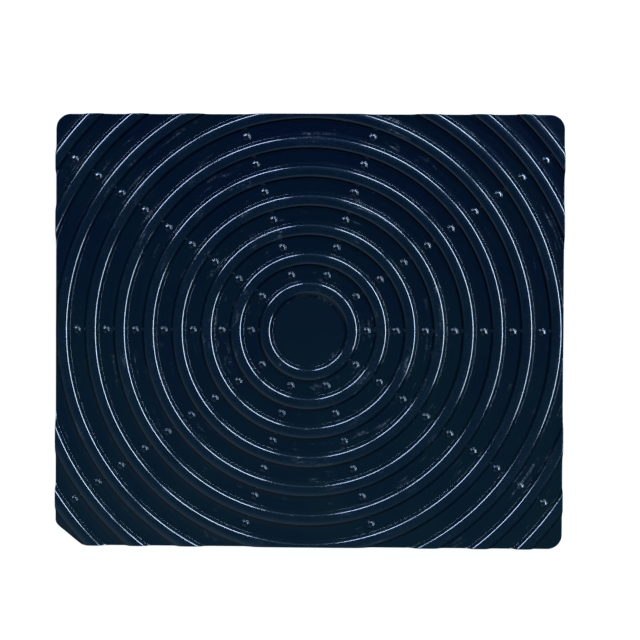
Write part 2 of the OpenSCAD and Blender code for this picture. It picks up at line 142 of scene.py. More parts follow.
def ridge_height(t):
    """Height of a ridge above its valleys, at distance t from the crest line (numpy).

    A nearly flat crown, tight shoulders, straight flanks and a small fillet at the foot.
    """
    t = np.minimum(np.abs(t), RIDGE_HALF_W)
    crown = RIDGE_H - CROWN_R + np.sqrt(np.maximum(CROWN_R**2 - t**2, 0))
    shoulder = SHOULDER_Z + np.sqrt(np.maximum(SHOULDER_R**2 - (t - SHOULDER_X) ** 2, 0))
    flank = (RIDGE_W / 2 - t) * math.tan(FLANK_ANGLE)
    foot = FOOT_R - np.sqrt(np.maximum(FOOT_R**2 - (RIDGE_HALF_W - t) ** 2, 0))
    return np.select((t < CROWN_T, t < SHOULDER_T, t < FLANK_T), (crown, shoulder, flank), foot)


def ridge_offsets():
    """Distances from the crest at which a ridge is sampled, from its foot to the crest."""
    foot = [RIDGE_HALF_W - FOOT_R * math.sin(FLANK_ANGLE * i / 3) for i in range(4)]
    shoulder = [
        SHOULDER_X + SHOULDER_R * math.sin(FLANK_ANGLE + (CROWN_ANGLE - FLANK_ANGLE) * i / 8)
        for i in range(9)
    ]
    return foot + shoulder + [CROWN_T / 2, 0.0]


def pattern_height(x, y):
    """Height of the ring pattern above the valleys (numpy)."""
    r = np.hypot(x - RING_CENTRE.x, y - RING_CENTRE.y)
    k = np.clip(np.round((r - FIRST_RIDGE_R) / RING_PITCH), 0, RIDGE_COUNT - 1)
    return ridge_height(r - FIRST_RIDGE_R - k * RING_PITCH)


# ------------------------------------------------------------------ mesh helpers


def new_object(name, bm, smooth_angle=40):
    """Makes a linked object of a bmesh, smooth apart from edges sharper than smooth_angle."""
    mesh = bpy.data.meshes.new(name)
    bmesh.ops.recalc_face_normals(bm, faces=bm.faces)
    bm.to_mesh(mesh)
    bm.free()
    obj = bpy.data.objects.new(name, mesh)
    bpy.context.scene.collection.objects.link(obj)
    for poly in mesh.polygons:
        poly.use_smooth = True
    mesh.set_sharp_from_angle(angle=math.radians(smooth_angle))
    return obj


def loft(bm, rings, cap_first=False, cap_last=False):
    """Joins rings of equal length, given as lists of 3-D points, with quads."""
    rows = [[bm.verts.new(p) for p in ring] for ring in rings]
    n = len(rows[0])
    for low, high in zip(rows, rows[1:]):
        for i in range(n):
            bm.faces.new((low[i], low[(i + 1) % n], high[(i + 1) % n], high[i]))
    if cap_first:
        bm.faces.new(rows[0][::-1])
    if cap_last:
        bm.faces.new(rows[-1])
    return rows


def lathe(bm, centre, profile, steps=40):
    """A turned solid about a vertical axis. The profile runs from axis to axis as (radius, z)."""
    rings = []
    for r, z in profile[1:-1]:
        rings.append([
            centre + Vector((r * math.cos(a), r * math.sin(a), z))
            for a in (2 * math.pi * i / steps for i in range(steps))
        ])
    rows = loft(bm, rings)
    for row, (_, z) in ((rows[0], profile[0]), (rows[-1], profile[-1])):
        tip = bm.verts.new(centre + Vector((0, 0, z)))
        for i in range(steps):
            bm.faces.new((row[i], row[(i + 1) % steps], tip))


def arc(radius, start, end, steps, centre=(0.0, 0.0)):
    """Points (u, v) on an arc, angles in degrees."""
    out = []
    for i in range(steps + 1):
        a = math.radians(start + (end - start) * i / steps)
        out.append((centre[0] + radius * math.cos(a), centre[1] + radius * math.sin(a)))
    return out


def carve(obj, cutter):
    """Cuts one solid out of another, with the result applied."""
    mod = obj.modifiers.new("cut", "BOOLEAN")
    mod.operation = "DIFFERENCE"
    mod.solver = "EXACT"
    mod.object = cutter
    bpy.context.view_layer.update()
    done = bpy.data.meshes.new_from_object(obj.evaluated_get(bpy.context.evaluated_depsgraph_get()))
    obj.modifiers.remove(mod)
    obj.data = done
    bpy.data.objects.remove(cutter)


LARGE_FACE = 1e-3  # square metres


def crease(obj, smooth_angle):
    """Sharp edges again after cutting, with the large flat faces shaded flat."""
    for poly in obj.data.polygons:
        poly.use_smooth = poly.area < LARGE_FACE
    obj.data.set_sharp_from_angle(angle=math.radians(smooth_angle))


def rod(name, start, axis, length, r, steps=40):
    """A closed round bar, used as a cutter."""
    bm = bmesh.new()
    turn = Vector((0, 0, 1)).rotation_difference(axis.normalized()).to_matrix().to_4x4()
    bmesh.ops.create_cone(bm, cap_ends=True, segments=steps, radius1=r, radius2=r, depth=length)
    bm.transform(Matrix.Translation(start + axis.normalized() * length / 2) @ turn)
    return new_object(name, bm)


CUT_FACE = Vector(((CUT_X - MAT_L) / 2, (CUT_Y - MAT_W) / 2, CORD_Z))
CUT_INWARD = Vector((CUT_Y, CUT_X, 0)).normalized()
CUT_SIDE = Vector((-CUT_INWARD.y, CUT_INWARD.x, 0))
INLET_R = BUSHING_R + 0.05 * MM
INLET_REACH = 10 * MM
INLET_START = 3 * MM  # the cutter begins this far outside the cut face


def split_at_inlet(bm):
    """More vertices along the cut corner, where the skirt arches over the bushing."""
    spans = [INLET_R * math.sin(math.radians(a)) for a in range(-80, 81, 10)]
    spans += [-1.01 * INLET_R, 1.01 * INLET_R]
    middle = CUT_FACE.xy
    for span in spans:
        near = [f for f in bm.faces if (f.calc_center_median().xy - middle).length < 2 * INLET_REACH]
        geom = set(near)
        for f in near:
            geom.update(f.edges)
            geom.update(f.verts)
        at = CUT_FACE + CUT_SIDE * span
        bmesh.ops.bisect_plane(bm, geom=list(geom), dist=WELD, plane_co=(at.x, at.y, 0), plane_no=CUT_SIDE)


def arch_height(at):
    """Top of the bushing's hole over each point (numpy, n by 2), or 0 beside the hole."""
    across = (at[:, 0] - CUT_FACE.x) * CUT_SIDE.x + (at[:, 1] - CUT_FACE.y) * CUT_SIDE.y
    near = (np.hypot(at[:, 0] - CUT_FACE.x, at[:, 1] - CUT_FACE.y) < INLET_REACH) & (abs(across) < INLET_R)
    return np.where(near, CORD_Z + np.sqrt(np.maximum(INLET_R**2 - across**2, 0)), 0.0)


# ------------------------------------------------------------------ ribbed top cover

TOP_INSET = 1.1 * MM
ROLL_R = 0.7 * MM
SKIRT_LIP_R = 0.4 * MM
EDGE_WAVE = 0.25 * MM
AZIMUTH_STEPS = 220
DOME_H = 1.7 * MM
DISC_ROWS = (5 * MM, 12 * MM, 20 * MM, 28 * MM)


def radial_samples():
    """Radii of the polar mesh's rows: dense on the shoulders and feet of the ridges."""
    offsets = ridge_offsets()
    radii = list(DISC_ROWS)
    for k in range(RIDGE_COUNT):
        crest = FIRST_RIDGE_R + k * RING_PITCH
        radii += [crest - t for t in offsets] + [crest + t for t in offsets[-2::-1]]
        gap = RING_PITCH - 2 * RIDGE_HALF_W
        radii += [crest + RIDGE_HALF_W + gap * i / 3 for i in range(1, 3)]
    return radii + [MAT_L / 2 + MAT_W / 2]


def ring_field(bm):
    """The ring pattern as a polar mesh, trimmed to the outline at TOP_INSET."""
    radii = radial_samples()
    angles = [2 * math.pi * i / AZIMUTH_STEPS for i in range(AZIMUTH_STEPS)]
    centre = bm.verts.new((RING_CENTRE.x, RING_CENTRE.y, 0))
    rows = []
    for r in radii:
        rows.append([
            bm.verts.new((RING_CENTRE.x + r * math.cos(a), RING_CENTRE.y + r * math.sin(a), 0))
            for a in angles
        ])
    n = AZIMUTH_STEPS
    for i in range(n):
        bm.faces.new((centre, rows[0][i], rows[0][(i + 1) % n]))
    for low, high in zip(rows, rows[1:]):
        for i in range(n):
            bm.faces.new((low[i], high[i], high[(i + 1) % n], low[(i + 1) % n]))
    limit = outline(TOP_INSET)
    for a, b in zip(limit, limit[1:] + limit[:1]):
        if (b - a).length < WELD:
            continue
        outward = Vector((b.y - a.y, a.x - b.x, 0))
        bmesh.ops.bisect_plane(
            bm, geom=bm.verts[:] + bm.edges[:] + bm.faces[:], dist=WELD,
            plane_co=(a.x, a.y, 0), plane_no=outward, clear_outer=True)
    loose = [v for v in bm.verts if not v.link_faces]
    bmesh.ops.delete(bm, geom=loose, context="VERTS")


def boundary_loop(bm):
    """The trimmed edge as one ordered, counter-clockwise list of vertices."""
    edges = [e for e in bm.edges if len(e.link_faces) == 1]
    after = {}
    for e in edges:
        for v in e.verts:
            after.setdefault(v, []).append(e.other_vert(v))
    start = edges[0].verts[0]
    loop, seen = [start], {start}
    while True:
        step = [v for v in after[loop[-1]] if v not in seen]
        if not step:
            break
        loop.append(step[0])
        seen.add(step[0])
    area = sum(a.co.x * b.co.y - b.co.x * a.co.y for a, b in zip(loop, loop[1:] + loop[:1]))
    return loop if area > 0 else loop[::-1]


def edge_normals(points):
    """Outward direction at each point of a counter-clockwise loop (numpy, n by 2)."""
    ahead = np.roll(points, -1, axis=0) - points
    normal = np.stack((ahead[:, 1], -ahead[:, 0]), axis=1)
    normal /= np.maximum(np.linalg.norm(normal, axis=1, keepdims=True), 1e-12)
    weight = np.linalg.norm(ahead, axis=1, keepdims=True)
    both = normal * weight + np.roll(normal * weight, 1, axis=0)
    return both / np.linalg.norm(both, axis=1, keepdims=True)


def rim_rows():
    """(inset, drop) pairs from the trimmed field to the foot of the rolled edge."""
    return [(ROLL_R - u, ROLL_R - v) for u, v in arc(ROLL_R, 90, 0, 6)]


def build_cover():
    """The ribbed top cover: ring field, rolled edge, skirt and domes."""
    bm = bmesh.new()
    ring_field(bm)
    split_at_inlet(bm)
    loop = boundary_loop(bm)
    flat = np.array([(v.co.x, v.co.y) for v in loop])
    normal = edge_normals(flat)
    n = len(loop)

    for v in bm.verts:
        v.co.z = VALLEY_Z + float(pattern_height(v.co.x, v.co.y))

    def place(inset, z_of):
        """One more row of vertices at this inset. The edge draws in a little between the ridges."""
        at = flat + normal * (TOP_INSET - inset)
        height = pattern_height(at[:, 0], at[:, 1])
        swell = EDGE_WAVE * (height / RIDGE_H - 1) * max(0.0, 1 - inset / TOP_INSET)
        at = at + normal * swell[:, None]
        z = np.maximum(z_of(height), arch_height(at))
        return [bm.verts.new((*p, z)) for p, z in zip(at, z)]

    def join(low, high):
        for i in range(n):
            bm.faces.new((low[i], low[(i + 1) % n], high[(i + 1) % n], high[i]))

    row = loop
    for inset, drop in rim_rows():
        nxt = place(inset, lambda h: VALLEY_Z + h - drop)
        join(row, nxt)
        row = nxt
    lip = SKIRT_LIP_R
    skirt = [(0.0, SKIRT_Z + lip)]
    skirt += [(lip - u, SKIRT_Z + lip - v) for u, v in arc(lip, 0, 90, 3)[1:]]
    skirt += [(LIP_T, SKIRT_Z), (LIP_T, COVER_Z)]
    for inset, z in skirt:
        nxt = place(inset, lambda h: np.full(n, z))
        join(row, nxt)
        row = nxt
    bm.faces.new(row[::-1])
    for p in dome_places():
        add_dome(bm, p)
    return new_object("ribbed_cover", bm)


def dome_places():
    """Where the domes stand: halfway between ridges, on the spokes, clear of the edge."""
    places = []
    for k in range(RIDGE_COUNT):
        r = FIRST_RIDGE_R + (k + 0.5) * RING_PITCH
        for i in range(SPOKES):
            a = 2 * math.pi * i / SPOKES
            p = RING_CENTRE + r * Vector((math.cos(a), math.sin(a)))
            if abs(p.x) < MAT_L / 2 - DOME_MARGIN and abs(p.y) < MAT_W / 2 - DOME_MARGIN:
                places.append(p)
    return places


def add_dome(bm, p):
    """A moulded dome: a low crown, a tight shoulder, a steep wall and a small fillet at its foot."""
    crown, shoulder, fillet = 12 * MM, 1.3 * MM, 0.3 * MM
    turn, slope = 12, math.radians(75)
    edge = (crown - shoulder) * math.sin(math.radians(turn))
    drop = DOME_H - crown + (crown - shoulder) * math.cos(math.radians(turn))
    cap = arc(crown, 90, 90 - turn, 2, centre=(0, DOME_H - crown))
    cap += arc(shoulder, 90 - turn, 90 - math.degrees(slope), 6, centre=(edge, drop))[1:]
    wall_z = cap[-1][1] - fillet * (1 - math.cos(slope))
    foot_x = cap[-1][0] + wall_z / math.tan(slope) + fillet * math.sin(slope)
    foot = arc(fillet, 270 - math.degrees(slope), 270, 3, centre=(foot_x, fillet))
    profile = cap + foot + [(foot_x + 0.05 * MM, -0.1 * MM), (0, -0.1 * MM)]
    lathe(bm, Vector((p.x, p.y, VALLEY_Z)), profile, steps=20)


# ------------------------------------------------------------------ base tray and feet

POST_R = 1.5 * MM
FOOT_D = 18 * MM
FOOT_INSET = 36 * MM
PANEL_INSET = 14 * MM
PANEL_DEPTH = 0.5 * MM


def ring_at(inset, z, steps=14):
    """The outline moved inwards, at height z."""
    return [Vector((p.x, p.y, z)) for p in outline(inset, steps)]


def foot_places():
    """Middles of the eight feet: the corners and the middles of the sides."""
    return [
        Vector((x * (MAT_L / 2 - FOOT_INSET), y * (MAT_W / 2 - FOOT_INSET), 0))
        for x in (-1, 0, 1) for y in (-1, 0, 1) if x or y
    ]


def build_base():
    """The base tray, with its support posts, foot pockets, recessed bottom panel and cord hole."""
    bm = bmesh.new()
    outer = LIP_T + 0.1 * MM
    edge_r = 1.6 * MM
    rows = [(PANEL_INSET + 1.0 * MM, BASE_Z + PANEL_DEPTH)]
    rows += [(PANEL_INSET, BASE_Z + PANEL_DEPTH - 0.15 * MM), (PANEL_INSET - 0.5 * MM, BASE_Z)]
    rows += [(outer + edge_r - u, BASE_Z + edge_r - v) for u, v in arc(edge_r, 90, 0, 6)]
    rows += [(outer, COVER_Z - 0.3 * MM), (outer + 0.2 * MM, COVER_Z - 0.02 * MM)]
    rows += [(outer + WALL_T, COVER_Z - 0.02 * MM), (outer + WALL_T, FLOOR_Z + 0.8 * MM)]
    rows += [(outer + WALL_T + 0.8 * MM, FLOOR_Z)]
    loft(bm, [ring_at(inset, z) for inset, z in rows], cap_first=True, cap_last=True)
    for p in dome_places():
        lathe(bm, Vector((p.x, p.y, 0)), [
            (0, FLOOR_Z - 0.2 * MM), (POST_R + 0.5 * MM, FLOOR_Z - 0.2 * MM),
            (POST_R + 0.5 * MM, FLOOR_Z + 0.1 * MM), (POST_R + 0.1 * MM, FLOOR_Z + 0.6 * MM),
            (POST_R, FLOOR_Z + 1.2 * MM), (POST_R, COVER_Z + 0.6 * MM),
            (POST_R - 0.3 * MM, COVER_Z + 0.85 * MM), (0, COVER_Z + 0.85 * MM),
        ], steps=16)
    tray = new_object("base_tray", bm, smooth_angle=35)
    for i, p in enumerate(foot_places()):
        up = Vector((0, 0, 1))
        carve(tray, rod(f"pocket_{i}", p + up * (BASE_Z - 2 * MM), up, 2 * MM + PANEL_DEPTH + 0.1 * MM,
                        FOOT_D / 2 + 0.2 * MM))
    carve(tray, rod("inlet", CUT_FACE - CUT_INWARD * INLET_START, CUT_INWARD, INLET_REACH, INLET_R))
    crease(tray, 35)
    return tray


def build_feet():
    """Rubber feet with a moulded ring groove underneath."""
    bm = bmesh.new()
    r, top = FOOT_D / 2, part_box("rubber_feet")[1].z
    round_r = 0.7 * MM
    for p in foot_places():
        profile = [(0, 0.35 * MM), (r * 0.28, 0.35 * MM), (r * 0.34, 0.05 * MM), (r * 0.42, 0.0)]
        profile += [(r * 0.52, 0.0), (r * 0.58, 0.3 * MM), (r * 0.66, 0.3 * MM), (r * 0.72, 0.0)]
        profile += [(r - round_r + u, round_r - v) for u, v in arc(round_r, 90, 0, 5)]
        profile += [(r, top - 0.2 * MM), (r - 0.15 * MM, top), (0, top)]
        lathe(bm, p, profile, steps=48)
    return new_object("foot_pads", bm, smooth_angle=50)


def build_bushing():
    """Rubber bushing with an open bore: a rounded lip, a plain sleeve and a flat flange inside."""
    steps = 48

    def ring(s, r, clip=None):
        out = []
        for i in range(steps):
            a = 2 * math.pi * i / steps
            u, v = math.cos(a), math.sin(a)
            if clip:
                scale = min(clip[0] / max(abs(u), 1e-6), clip[1] / max(abs(v), 1e-6))
                u, v = u * scale, v * scale
                out.append(CUT_FACE + CUT_INWARD * s + CUT_SIDE * u + Vector((0, 0, v)))
            else:
                out.append(CUT_FACE + CUT_INWARD * s + CUT_SIDE * u * r + Vector((0, 0, v * r)))
        return out

    flange = (8 * MM, 3.15 * MM)
    rows = [ring(0.9 * MM, CORD_R), ring(0.5 * MM, CORD_R + 0.1 * MM), ring(0.28 * MM, CORD_R + 0.35 * MM)]
    rows += [ring(0.25 * MM, CORD_R + 0.6 * MM), ring(0.35 * MM, BUSHING_R - 0.12 * MM)]
    rows += [ring(0.6 * MM, BUSHING_R - 0.02 * MM), ring(4.3 * MM, BUSHING_R - 0.02 * MM)]
    rows += [ring(4.3 * MM, 0, flange), ring(6.3 * MM, 0, flange), ring(6.3 * MM, CORD_R)]
    bm = bmesh.new()
    made = loft(bm, rows)
    last, first = made[-1], made[0]
    for i in range(steps):
        bm.faces.new((last[i], last[(i + 1) % steps], first[(i + 1) % steps], first[i]))
    return new_object("cord_bushing", bm, smooth_angle=40)


# ------------------------------------------------------------------ materials


class Shader:
    """Small helper that builds one procedural material."""

    def __init__(self, name):
        self.material = bpy.data.materials.new(name)
        self.material.use_nodes = True
        self.tree = self.material.node_tree
        self.bsdf = self.tree.nodes["Principled BSDF"]
        self.place = self.node("ShaderNodeTexCoord").outputs["Object"]

    def node(self, kind, **values):
        made = self.tree.nodes.new(kind)
        for key, value in values.items():
            setattr(made, key, value)
        return made

    def link(self, source, target):
        self.tree.links.new(source, target)

    def feed(self, target, value):
        if hasattr(value, "is_output"):
            self.link(value, target)
        else:
            target.default_value = value

    def math(self, operation, a, b=0.0, clamp=False):
        made = self.node("ShaderNodeMath", operation=operation, use_clamp=clamp)
        self.feed(made.inputs[0], a)
        self.feed(made.inputs[1], b)
        return made.outputs[0]

    def noise(self, vector, scale, detail=4.0, rough=0.55, distortion=0.0):
        made = self.node("ShaderNodeTexNoise")
        self.link(vector, made.inputs["Vector"])
        made.inputs["Scale"].default_value = scale
        made.inputs["Detail"].default_value = detail
        made.inputs["Roughness"].default_value = rough
        made.inputs["Distortion"].default_value = distortion
        return made.outputs[0]

    def band(self, value, low, high, out_low=0.0, out_high=1.0):
        made = self.node("ShaderNodeMapRange")
        self.feed(made.inputs["Value"], value)
        for key, number in zip(("From Min", "From Max", "To Min", "To Max"), (low, high, out_low, out_high)):
            made.inputs[key].default_value = number
        return made.outputs[0]

    def mix(self, factor, a, b):
        made = self.node("ShaderNodeMix", data_type="RGBA")
        self.feed(made.inputs["Factor"], factor)
        for socket, value in ((made.inputs[6], a), (made.inputs[7], b)):
            self.feed(socket, value if hasattr(value, "is_output") else (*value, 1.0))
        return made.outputs[2]

    def stretch(self, vector, scale, rotation=(0, 0, 0)):
        made = self.node("ShaderNodeMapping")
        self.link(vector, made.inputs["Vector"])
        made.inputs["Scale"].default_value = scale
        made.inputs["Rotation"].default_value = rotation
        return made.outputs[0]

    def bump(self, height, strength, distance):
        made = self.node("ShaderNodeBump")
        made.inputs["Strength"].default_value = strength
        made.inputs["Distance"].default_value = distance
        self.link(height, made.inputs["Height"])
        self.link(made.outputs[0], self.bsdf.inputs["Normal"])

    def surface(self, colour=None, rough=None, metallic=0.0, ior=1.5):
        if colour is not None:
            self.feed(self.bsdf.inputs["Base Color"], colour)
        if rough is not None:
            self.feed(self.bsdf.inputs["Roughness"], rough)
        self.bsdf.inputs["Metallic"].default_value = metallic
        self.bsdf.inputs["IOR"].default_value = ior
        return self.material


STREAK_STRETCH = 0.02  # smaller makes longer streaks


def polar_place(s):
    """The radius, coordinates in which noise streaks follow the rings, and y."""
    centred = s.node("ShaderNodeVectorMath", operation="SUBTRACT")
    s.link(s.place, centred.inputs[0])
    centred.inputs[1].default_value = (RING_CENTRE.x, RING_CENTRE.y, 0)
    split = s.node("ShaderNodeSeparateXYZ")
    s.link(centred.outputs[0], split.inputs[0])
    x, y, _ = split.outputs
    radius = s.math("SQRT", s.math("ADD", s.math("MULTIPLY", x, x), s.math("MULTIPLY", y, y)))
    safe = s.math("MAXIMUM", radius, MM)
    join = s.node("ShaderNodeCombineXYZ")
    s.link(radius, join.inputs[0])
    s.link(s.math("MULTIPLY", s.math("DIVIDE", x, safe), STREAK_STRETCH), join.inputs[1])
    s.link(s.math("MULTIPLY", s.math("DIVIDE", y, safe), STREAK_STRETCH), join.inputs[2])
    return radius, join.outputs[0], y


def cover_material():
    """Glossy navy moulding: streaks along the rings, ridge tops lighter from wear and from a painted sheen,
    the front half painted lighter as a painted sheen, and a few scuffs.
    """
    s = Shader("cover_navy_gloss")
    radius, rings, y = polar_place(s)
    split = s.node("ShaderNodeSeparateXYZ")
    s.link(s.place, split.inputs[0])
    height = split.outputs[2]
    streak = s.noise(rings, 900, 3, 0.6)
    broad_streak = s.noise(rings, 240, 4, 0.6)
    cloud = s.noise(s.place, 11, 4, 0.6)
    patch = s.noise(s.place, 26, 4, 0.65)
    speck = s.noise(s.place, 520, 3, 0.7)
    # Painted sheen: the front half is painted lighter and greener than the rear, for the brighter
    # surroundings on that side.
    painted_front_sheen_fade = s.band(y, -0.2, 0.2)
    navy = s.mix(painted_front_sheen_fade, (0.0028, 0.0100, 0.0185), (0.0001, 0.0032, 0.0155))
    teal = s.mix(painted_front_sheen_fade, (0.0034, 0.0130, 0.0180), (0.0002, 0.0052, 0.0145))
    colour = s.mix(s.band(cloud, 0.42, 0.62), navy, teal)
    colour = s.mix(s.band(streak, 0.5, 0.8, 0.0, 0.35), colour, (0.004, 0.010, 0.026))

    # The ridge tops are painted lighter in grainy patches: partly wear and dust where trays rub, partly a
    # painted sheen.
    raised = s.band(height, VALLEY_Z + 0.3 * RIDGE_H, VALLEY_Z + 0.85 * RIDGE_H)
    wear_and_sheen = s.math("MULTIPLY", s.band(speck, 0.3, 0.62), s.band(patch, 0.3, 0.6, 0.35, 1.0))
    wear_and_sheen = s.math("MULTIPLY", wear_and_sheen, raised)
    colour = s.mix(s.math("MULTIPLY", wear_and_sheen, 0.6), colour, (0.0085, 0.0210, 0.040))

    scuff = s.math("MULTIPLY", s.band(broad_streak, 0.56, 0.66), s.band(patch, 0.52, 0.62))
    scuff = s.math("MULTIPLY", scuff, s.band(speck, 0.38, 0.6))
    scuff = s.math("MULTIPLY", scuff, s.band(radius, 30 * MM, 36 * MM))
    colour = s.mix(s.math("MULTIPLY", scuff, 0.7), colour, (0.05, 0.065, 0.085))

    disc = s.band(radius, 32.5 * MM, 35.5 * MM, 1.0, 0.0)
    colour = s.mix(s.math("MULTIPLY", disc, 0.25), colour, (0.003, 0.013, 0.023))
    rough = s.math("ADD", s.band(streak, 0.3, 0.8, 0.09, 0.13), s.math("MULTIPLY", scuff, 0.25))
    rough = s.math("ADD", rough, s.math("MULTIPLY", disc, 0.02))
    relief = s.math("ADD", s.math("MULTIPLY", streak, 0.4), s.math("MULTIPLY", broad_streak, 1.0))
    s.bump(relief, 0.05, 0.0004)
    return s.surface(colour, rough, ior=1.5)


def moulded(name, light, dark, rough=(0.35, 0.55), grain=900, depth=0.00012, strength=0.25):
    """Matt moulded plastic or rubber with fine spark grain and a little colour drift."""
    s = Shader(name)
    fine = s.noise(s.place, grain, 3, 0.6)
    drift = s.noise(s.place, 14, 3, 0.5)
    colour = s.mix(s.band(drift, 0.35, 0.65), dark, light)
    s.bump(fine, strength, depth)
    return s.surface(colour, s.band(fine, 0.3, 0.7, *rough))


def metal(name, light, dark, rough=(0.2, 0.4), direction=(1, 1, 1), grain=500, metallic=1.0):
    """Rolled, plated or drawn metal; direction stretches the grain."""
    s = Shader(name)
    lines = s.noise(s.stretch(s.place, direction), grain, 4, 0.6)
    patch = s.noise(s.place, 30, 3, 0.6)
    colour = s.mix(s.band(patch, 0.35, 0.7), light, dark)
    s.bump(lines, 0.15, 0.00005)
    return s.surface(colour, s.band(lines, 0.3, 0.7, *rough), metallic)


def foil(name):
    """Thin bright foil with creases."""
    s = Shader(name)
    creases = s.node("ShaderNodeTexVoronoi", feature="DISTANCE_TO_EDGE")
    s.link(s.stretch(s.place, (1, 1, 0.2)), creases.inputs["Vector"])
    creases.inputs["Scale"].default_value = 45
    fine = s.noise(s.place, 160, 5, 0.6, 0.4)
    height = s.math("ADD", s.band(creases.outputs[0], 0.0, 0.08), s.math("MULTIPLY", fine, 0.5))
    s.bump(height, 0.35, 0.0004)
    colour = s.mix(fine, (0.75, 0.76, 0.78), (0.92, 0.92, 0.92))
    return s.surface(colour, s.band(fine, 0.3, 0.7, 0.14, 0.3), 1.0)


def foam(name):
    """Closed-cell foam: small cells whose pits are painted darker, a painted shade."""
    s = Shader(name)
    cells = s.node("ShaderNodeTexVoronoi", feature="F1")
    s.link(s.place, cells.inputs["Vector"])
    cells.inputs["Scale"].default_value = 900
    depth = s.band(cells.outputs[0], 0.0, 0.6)
    drift = s.noise(s.place, 20, 3, 0.5)
    # Painted shade: the cell pits are painted darker than the cell walls.
    colour = s.mix(depth, (0.42, 0.42, 0.41), s.mix(drift, (0.6, 0.6, 0.58), (0.68, 0.68, 0.65)))
    s.bump(depth, 0.6, 0.0004)
    return s.surface(colour, s.band(drift, 0.3, 0.7, 0.75, 0.95))


def striped_wire(name):
    """Green insulation with a yellow stripe along it."""
    s = Shader(name)
    split = s.node("ShaderNodeSeparateXYZ")
    s.link(s.place, split.inputs[0])
    low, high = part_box("earth_lead")
    middle = (low.z + high.z) / 2
    stripe = s.band(split.outputs[2], middle + 0.35 * MM, middle + 0.45 * MM)
    fine = s.noise(s.place, 600, 3, 0.5)
    colour = s.mix(stripe, (0.06, 0.3, 0.03), (0.75, 0.6, 0.03))
    s.bump(fine, 0.1, 0.00004)
    return s.surface(colour, s.band(fine, 0.3, 0.7, 0.3, 0.45))


PAINTS = {
    "cover_plastic": cover_material,
    "base_plastic": lambda: moulded("base_satin", (0.012, 0.018, 0.026), (0.008, 0.013, 0.02)),
    "black_rubber": lambda: moulded("rubber_black", (0.022, 0.022, 0.023), (0.014, 0.014, 0.014),
                                    (0.6, 0.8), 1400, 0.0001, 0.35),
    "foam": lambda: foam("foam_cells"),
    "bright_aluminium": lambda: foil("foil_bright"),
    "spreader_aluminium": lambda: metal("spreader_rolled", (0.8, 0.81, 0.82), (0.66, 0.67, 0.69),
                                        (0.25, 0.42), (0.06, 1, 1), 700),
    "silicone_red": lambda: moulded("silicone_red", (0.48, 0.06, 0.03), (0.36, 0.04, 0.02), (0.35, 0.5), 700),
    "zinc_steel": lambda: metal("steel_zinc", (0.66, 0.67, 0.68), (0.5, 0.51, 0.53)),
    "terminal_plastic": lambda: moulded("nylon_ivory", (0.74, 0.71, 0.62), (0.66, 0.63, 0.54)),
    "brass": lambda: metal("brass_drawn", (0.78, 0.57, 0.26), (0.6, 0.42, 0.18)),
    "brown_wire": lambda: moulded("wire_brown", (0.17, 0.06, 0.025), (0.12, 0.04, 0.015), (0.28, 0.4), 600),
    "blue_wire": lambda: moulded("wire_blue", (0.02, 0.12, 0.5), (0.015, 0.08, 0.36), (0.28, 0.4), 600),
    "earth_wire": lambda: striped_wire("wire_earth"),
    "white_wire": lambda: moulded("wire_white", (0.82, 0.81, 0.78), (0.72, 0.71, 0.67), (0.4, 0.55), 600),
    "phenolic": lambda: moulded("phenolic_brown", (0.19, 0.075, 0.03), (0.12, 0.045, 0.02), (0.3, 0.45)),
    "contact_silver": lambda: metal("silver_satin", (0.88, 0.87, 0.84), (0.7, 0.69, 0.66), (0.2, 0.35)),
    "bimetal": lambda: metal("bimetal_strip", (0.62, 0.57, 0.44), (0.5, 0.45, 0.33),
                             (0.25, 0.4), (1, 0.08, 1)),
    "tinned_copper": lambda: metal("copper_tinned", (0.74, 0.71, 0.66), (0.58, 0.54, 0.48), (0.25, 0.45)),
    "fuse_body": lambda: moulded("fuse_ceramic", (0.8, 0.7, 0.52), (0.68, 0.58, 0.42), (0.3, 0.5), 500),
    "sleeve_black": lambda: moulded("sleeve_black", (0.022, 0.022, 0.024), (0.014, 0.014, 0.016),
                                    (0.35, 0.5)),
    "clamp_nylon": lambda: moulded("nylon_grey", (0.56, 0.56, 0.55), (0.46, 0.46, 0.45)),
}


def paint(obj, material):
    """Gives an object one material."""
    obj.data.materials.clear()
    obj.data.materials.append(material)


def dress():
    """Builds the pieces that replace plain CAD shells, and gives everything its material."""
    materials = {name: make() for name, make in PAINTS.items()}
    for part in frame["record"]["subparts"]:
        paint(frame["nodes"][part["node"]], materials[part["material_slot"]])
    swaps = [
        (build_cover(), "top_cover", "cover_plastic"),
        (build_base(), "base_cover", "base_plastic"),
        (build_feet(), "rubber_feet", "black_rubber"),
        (build_bushing(), "inlet_bushing", "black_rubber"),
    ]
    for piece, node, slot in swaps:
        paint(piece, materials[slot])
        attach(piece, MAT_BODY)
        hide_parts(node)


# ------------------------------------------------------------------ stage, light and camera

CAMERA_AT = Vector((0.0456, 0.0369, 1.5))
CAMERA_TURN = (-0.9835, 1.329, 0.301)
CAMERA_LENS = 83.9
SENSOR_WIDTH = 36
CLIP_END = 500

PANEL_DISTANCE = 9.0
PANEL_LOW = 48.0
PANEL_HIGH = 62.0
PANELS = [
    # (first azimuth, last azimuth, radiance, colour)
    (-26.0, -8.0, 38.0, (0.58, 0.77, 1.0)),
    (-8.0, 41.5, 46.0, (0.58, 0.77, 1.0)),
    (47.5, 76.5, 46.0, (0.58, 0.75, 1.0)),
    (77.0, 102.0, 0.5, (0.5, 0.7, 1.0)),
    (102.5, 122.5, 44.0, (0.48, 0.64, 1.0)),
    (125.5, 149.0, 44.0, (0.5, 0.65, 1.0)),
]
FLOOR_R = 20.0
PALE = 0.97
BACKDROP_PALE = 0.95
BACKDROP_SCALE = 1.2


